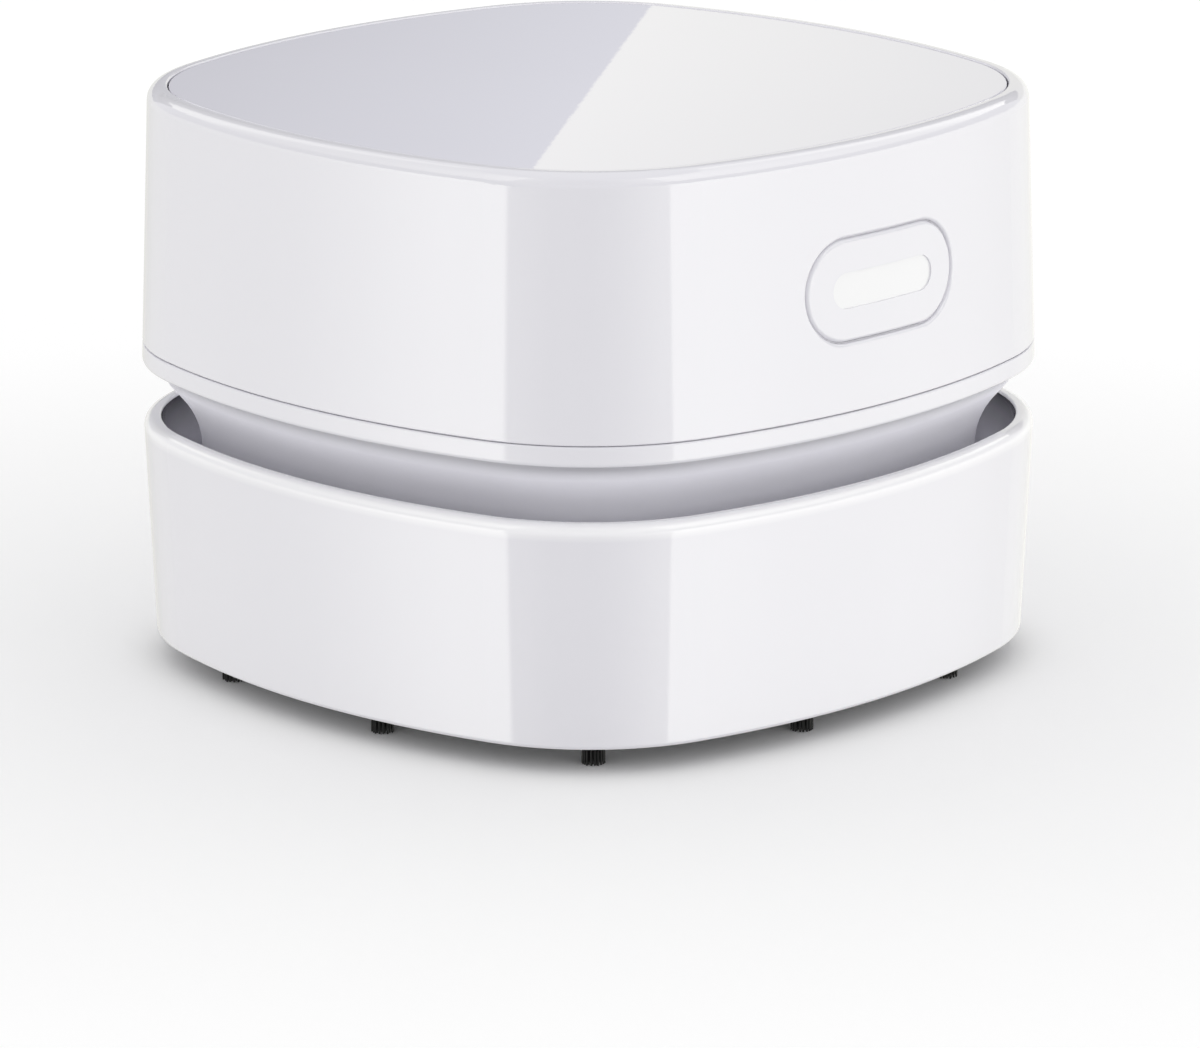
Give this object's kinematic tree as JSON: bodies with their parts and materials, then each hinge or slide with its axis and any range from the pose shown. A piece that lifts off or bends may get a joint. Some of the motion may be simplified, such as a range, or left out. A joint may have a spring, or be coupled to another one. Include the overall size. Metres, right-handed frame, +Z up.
{
  "type": "desktop mini vacuum cleaner",
  "caption": "Desktop mini vacuum cleaner: a rounded-square fan and battery module that lifts off an open dust cup standing on bristles, with a push button in its front.",
  "frame": {"origin": "middle of the plane of the bristle tips, on the table under the centre of the cup", "axes": "+Z up through the lid, -Y out of the flat with the power button (the front), +X to the right when seen from the front"},
  "size_m": [0.0854, 0.0854, 0.062],
  "materials": {
    "shell_white": "glossy injection-moulded white",
    "lid_white": "high-gloss white top plate",
    "button_white": "glossy white",
    "foot_grey": "fine matte dark grey",
    "waist_grey": "glossy pale lavender grey",
    "fan_white": "satin white",
    "tray_white": "satin white",
    "inlay_white": "bright white light window",
    "bristle_black": "black nylon bristle",
    "seal_rubber": "soft black rubber",
    "filter_fabric": "white non-woven pad",
    "frame_dark": "moulded dark grey",
    "switch_black": "moulded black",
    "screw_steel": "zinc-plated",
    "can_steel": "nickel-plated",
    "core_steel": "laminated",
    "spring_steel": "nickel-plated spring steel",
    "bronze": "sintered bronze",
    "brass": "stamped brass",
    "copper_wire": "enamelled copper",
    "magnet_grey": "ferrite",
    "cell_jacket": "printed jacket without words",
    "board_green": "solder-mask green",
    "component_blue": "capacitor sleeve",
    "wire_black": "insulation",
    "wire_red": "insulation",
    "wire_white": "insulation"
  },
  "bodies": {
    "cup": {"dust_cup": "shell_white", "inlet_riser": "waist_grey", "brush_plate": "foot_grey", "bristle_tufts": "bristle_black", "base_screws": "screw_steel"},
    "lid": {"battery_lid": "lid_white"},
    "button": {"button_cap": "button_white", "button_inlay": "inlay_white", "switch_plunger": "frame_dark"},
    "rotor": {"impeller": "fan_white", "motor_shaft": "can_steel", "armature_core": "core_steel", "armature_windings": "copper_wire", "commutator": "copper_wire"},
    "upper": {"neck_housing": "waist_grey", "fan_cover": "waist_grey", "cup_seal": "seal_rubber", "filter_frame": "frame_dark", "filter_pad": "filter_fabric", "fan_cover_screws": "screw_steel", "motor_deck": "frame_dark", "deck_screws": "screw_steel", "motor_screws": "screw_steel", "motor_can": "can_steel", "motor_bushes": "bronze", "motor_end_cap": "frame_dark", "motor_terminals": "brass", "motor_magnets": "magnet_grey", "upper_shell": "shell_white", "chassis_ring": "shell_white", "chassis_screws": "screw_steel", "battery_tray": "tray_white", "tray_screws": "screw_steel", "battery_cell_rear": "cell_jacket", "battery_cell_front": "cell_jacket", "contact_negative": "spring_steel", "contact_positive": "spring_steel", "contact_bridge": "spring_steel", "button_spring": "spring_steel", "switch_body": "switch_black", "circuit_board": "board_green", "board_components": "component_blue", "wire_black": "wire_black", "wire_red": "wire_red", "wire_white": "wire_white"}
  },
  "joints": [
    {"name": "module_lift", "type": "slide", "parent": "cup", "child": "upper", "axis": [0, 0, 1], "range_m": [0, 0.05]},
    {"name": "lid_lift", "type": "slide", "parent": "upper", "child": "lid", "axis": [0, 0, 1], "range_m": [0, 0.03]},
    {"name": "button_press", "type": "slide", "parent": "upper", "child": "button", "axis": [0, 1, 0], "range_m": [0, 0.001], "stiffness_N_per_m": 600, "springref_m": -0.001, "deforming": ["button_spring"]},
    {"name": "fan_spin", "type": "hinge", "parent": "upper", "child": "rotor", "pos_m": [0, 0, 0.021], "axis": [0, 0, 1], "continuous": true}
  ]
}
